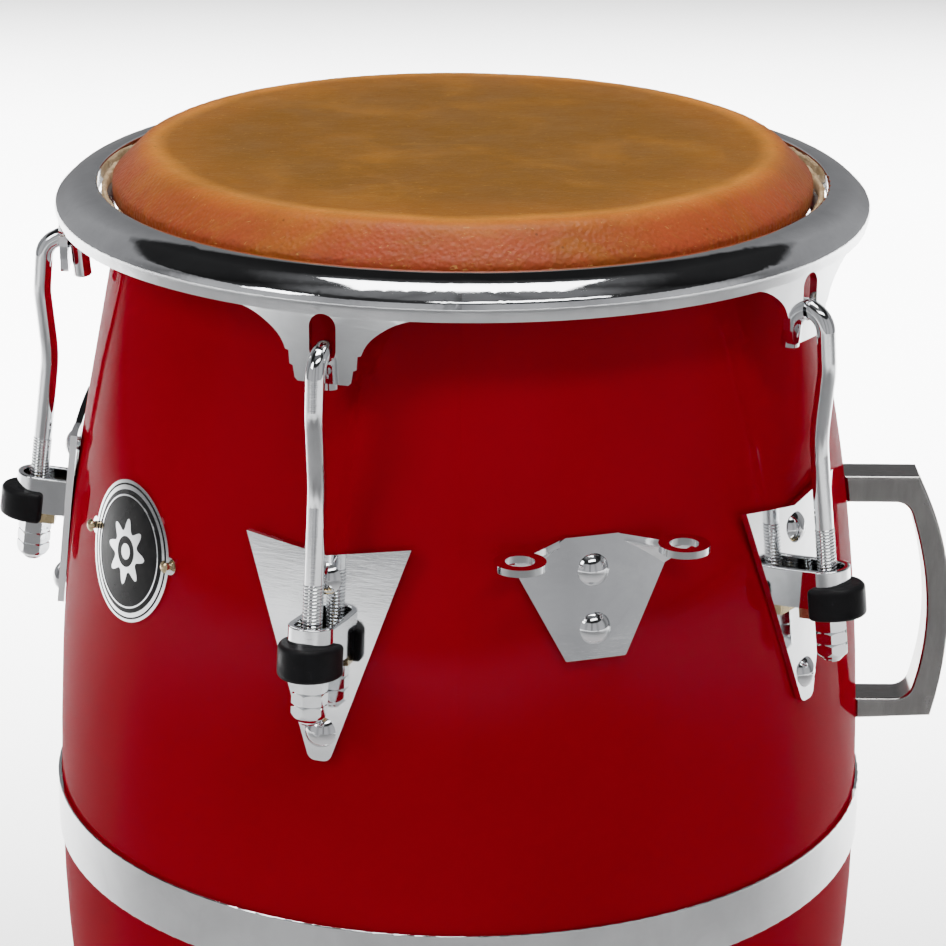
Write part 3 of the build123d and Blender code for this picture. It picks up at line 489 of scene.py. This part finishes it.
# --- Badge: enamel and silver lines laid on its plate ---------------------------------------
class BadgeFace:
    """The outside of the badge's plate, to lay thin pieces on."""

    def __init__(self):
        plate = NODES["badge_plate"]
        plate.data.calc_loop_triangles()
        points = [plate.matrix_world @ v.co for v in plate.data.vertices]
        self.tree = BVHTree.FromPolygons(points, [t.vertices[:] for t in plate.data.loop_triangles])

    def at(self, u, v, lift):
        """The point u across and v up from the middle, lift off the face; millimetres."""
        outward = polar(BADGE_AZIMUTH, 1.0, 0.0)
        across = Vector((math.cos(BADGE_AZIMUTH), math.sin(BADGE_AZIMUTH), 0.0))
        start = (outward * OUTSIDE_R + across * u + Vector((0, 0, BADGE_Z + v))) * MM
        return self.tree.ray_cast(start, -outward)[0] / MM + outward * lift


def inlay(name, face, rim, hub, material, lift):
    """A thin raised piece between two outlines with as many points each."""
    points = []
    for i in range(INLAY_RINGS + 1):
        t = i / INLAY_RINGS
        for (u, v), (rim_u, rim_v) in zip(hub, rim):
            points.append(face.at(u + (rim_u - u) * t, v + (rim_v - v) * t, lift))
    points += [face.at(*spot, 0.0) for spot in (*rim, *hub)]
    count = len(rim)
    last = INLAY_RINGS * count
    faces = grid_faces(INLAY_RINGS + 1, count)
    for j in range(count):
        k = (j + 1) % count
        faces.append((last + j, last + k, last + count + k, last + count + j))
        faces.append((k, j, last + 2 * count + j, last + 2 * count + k))
    make(name, points, faces, material, "drum", smooth=False)


def oval(across, up):
    return [(across * math.cos(t), up * math.sin(t)) for t in turns(INLAY_SIDES)]


def rosette():
    outline = []
    for t in turns(INLAY_SIDES):
        r = ROSETTE_R + ROSETTE_PETAL * abs(math.cos(4 * t)) ** 3
        outline.append((r * math.cos(t), r * math.sin(t)))
    return outline


def badge():
    face = BadgeFace()
    hub = oval(*INLAY_HUB)
    outer_rim, outer_hub = (oval(*halves) for halves in OUTER_LINE)
    inner_rim, inner_hub = (oval(*halves) for halves in INNER_LINE)
    inlay("badge_field", face, oval(*BADGE_FIELD), hub, ENAMEL, FIELD_LIFT)
    inlay("badge_line_outer", face, outer_rim, outer_hub, ENAMEL, OUTER_LINE_LIFT)
    inlay("badge_line_inner", face, inner_rim, inner_hub, CHROME, INNER_LINE_LIFT)
    inlay("badge_rosette", face, rosette(), oval(*ROSETTE_HOLE), CHROME, MOTIF_LIFT)
    inlay("badge_button", face, oval(*BUTTON), hub, CHROME, MOTIF_LIFT)


# --- Small marks of making ------------------------------------------------------------------
def weld_mark():
    """The little ground-down weld where the hoop's skirt is joined."""
    points = []
    for i in range(WELD_RINGS + 1):
        t = i / WELD_RINGS
        for turn in turns(WELD_SIDES):
            wobble = 1 + WELD_WOBBLE * noise.noise(Vector((math.cos(turn) * 2, math.sin(turn) * 2, 3.0)))
            azimuth = WELD_MIDDLE + WELD_HALF_WIDTH * t * wobble * math.cos(turn) / SKIRT_R
            z = RIM_Z - WELD_DROP + WELD_HALF_HEIGHT * t * wobble * math.sin(turn)
            points.append(polar(azimuth, SKIRT_R + WELD_RISE * (1 - t * t) - WELD_SEAT, z))
    make("hoop_weld", points, grid_faces(WELD_RINGS + 1, WELD_SIDES), STEEL, "hoop")


head()
tuck()
for number, degrees in enumerate(LUG_AZIMUTHS, 1):
    thread(number, math.radians(degrees))
badge()
weld_mark()

# --- Studio, in metres and watts ----------------------------------------------------------------
FLOOR_R = 4.6
FLOOR_SIDES = 96
FLOOR_DROP = 0.0005
PANELS = (  # name, size, place, aim, power, spread in degrees
    ("sky_box", (1.3, 0.9), (0.0, 0.1, 2.75), (0.0, 0.0, 0.7), 12.0, 100.0),
    ("front_box", (1.6, 0.4), (0.5, -1.3, 2.6), (0.0, 0.0, 0.65), 2.6, 70.0),
    ("left_box", (0.7, 0.9), (-1.9, -1.3, 2.3), (0.0, 0.0, 0.6), 2.6, 70.0),
    ("back_box", (5.0, 2.8), (0.0, 2.4, 2.0), (0.0, 2.41, 0.0), 520.0, 66.0),
    ("front_wash", (6.8, 1.2), (0.0, -3.4, 2.2), (0.0, -3.41, 0.0), 52.0, 60.0),
    ("side_wash_1", (1.2, 4.6), (-2.8, -0.5, 2.2), (-2.8, -0.51, 0.0), 42.0, 60.0),
    ("side_wash_3", (1.2, 4.6), (2.8, -0.5, 2.2), (2.8, -0.51, 0.0), 42.0, 60.0),
)
WALL_AND_CEILING = (  # from straight down to straight up
    (0.0, 0.58),
    (0.5, 0.58),
    (0.78, 0.52),
    (0.8, 0.04),
    (0.92, 0.04),
    (0.96, 0.2),
    (1.0, 0.22),
)
CEILING_BLUE = 1.03
ROUND_THE_ROOM = (  # from in front of the drum to behind it, alike on both sides
    (0.0, 0.35),
    (0.04, 0.95),
    (0.12, 1.0),
    (0.19, 0.68),
    (0.27, 1.0),
    (0.42, 1.0),
    (0.5, 0.3),
    (0.6, 0.6),
    (0.8, 0.7),
    (0.92, 0.42),
    (1.0, 0.4),
)
EYE = (0.0, -1.38235, 1.09556)
EYE_TILT = math.radians(90.0 - 19.466)
EYE_ROLL = 0.00741
LENS = 122.73
SENSOR = 36.0
SHIFT = 0.01309
SIGHT = 60.0


def panel(name, size, place, aim, power, spread):
    light = bpy.data.lights.new(name, "AREA")
    light.shape = "RECTANGLE"
    light.size, light.size_y = size
    light.energy = power
    light.spread = math.radians(spread)
    lamp = bpy.data.objects.new(name, light)
    lamp.location = place
    lamp.visible_camera = False
    lamp.rotation_euler = (Vector(aim) - Vector(place)).to_track_quat("-Z", "Y").to_euler()
    bpy.context.scene.collection.objects.link(lamp)


def ground():
    mesh = bpy.data.meshes.new("floor")
    rim = [(FLOOR_R * math.cos(t), FLOOR_R * math.sin(t), 0) for t in turns(FLOOR_SIDES)]
    mesh.from_pydata(rim, [], [tuple(range(FLOOR_SIDES))])
    mesh.materials.append(floor_paint())
    floor = bpy.data.objects.new("floor", mesh)
    floor.location.z = -FLOOR_DROP
    bpy.context.scene.collection.objects.link(floor)


def room():
    """Pale walls under a dim ceiling, with softly darker stretches round them."""
    world = bpy.data.worlds.new("studio_air")
    bpy.context.scene.world = world
    world.use_nodes = True
    tree = world.node_tree
    tree.nodes.clear()

    def add(kind, *sources, **settings):
        """A node with its first inputs taken from sources: sockets or plain values."""
        made = tree.nodes.new(kind)
        for name, value in settings.items():
            setattr(made, name, value)
        for source, target in zip(sources, made.inputs):
            if isinstance(source, bpy.types.NodeSocket):
                tree.links.new(source, target)
            else:
                target.default_value = source
        return made

    place = add("ShaderNodeTexCoord").outputs["Generated"]
    x, y, z = add("ShaderNodeSeparateXYZ", place).outputs
    height = add("ShaderNodeMath", z, 0.5, 0.5, operation="MULTIPLY_ADD").outputs[0]
    rise = add("ShaderNodeValToRGB", height)
    fill_ramp(rise, [(spot, (grey, grey, grey * CEILING_BLUE)) for spot, grey in WALL_AND_CEILING])
    ahead = add("ShaderNodeMath", y, -1.0, operation="MULTIPLY").outputs[0]
    bearing = add("ShaderNodeMath", x, ahead, operation="ARCTAN2").outputs[0]
    aside = add("ShaderNodeMath", bearing, operation="ABSOLUTE").outputs[0]
    share = add("ShaderNodeMath", aside, math.pi, operation="DIVIDE").outputs[0]
    cut = add("ShaderNodeValToRGB", share)
    fill_ramp(cut, ROUND_THE_ROOM)
    join = add("ShaderNodeMix", 1.0, data_type="RGBA", blend_type="MULTIPLY")
    tree.links.new(rise.outputs["Color"], join.inputs[6])
    tree.links.new(cut.outputs["Color"], join.inputs[7])
    air = add("ShaderNodeBackground", join.outputs[2])
    add("ShaderNodeOutputWorld", air.outputs[0])


def camera():
    data = bpy.data.cameras.new("eye")
    data.lens = LENS
    data.sensor_width = SENSOR
    data.shift_x = SHIFT
    data.clip_end = SIGHT
    eye = bpy.data.objects.new("eye", data)
    eye.location = EYE
    turn = Matrix.Rotation(EYE_TILT, 4, "X") @ Matrix.Rotation(EYE_ROLL, 4, "Z")
    eye.rotation_euler = turn.to_euler()
    bpy.context.scene.collection.objects.link(eye)
    bpy.context.scene.camera = eye


ground()
room()
for settings in PANELS:
    panel(*settings)
camera()
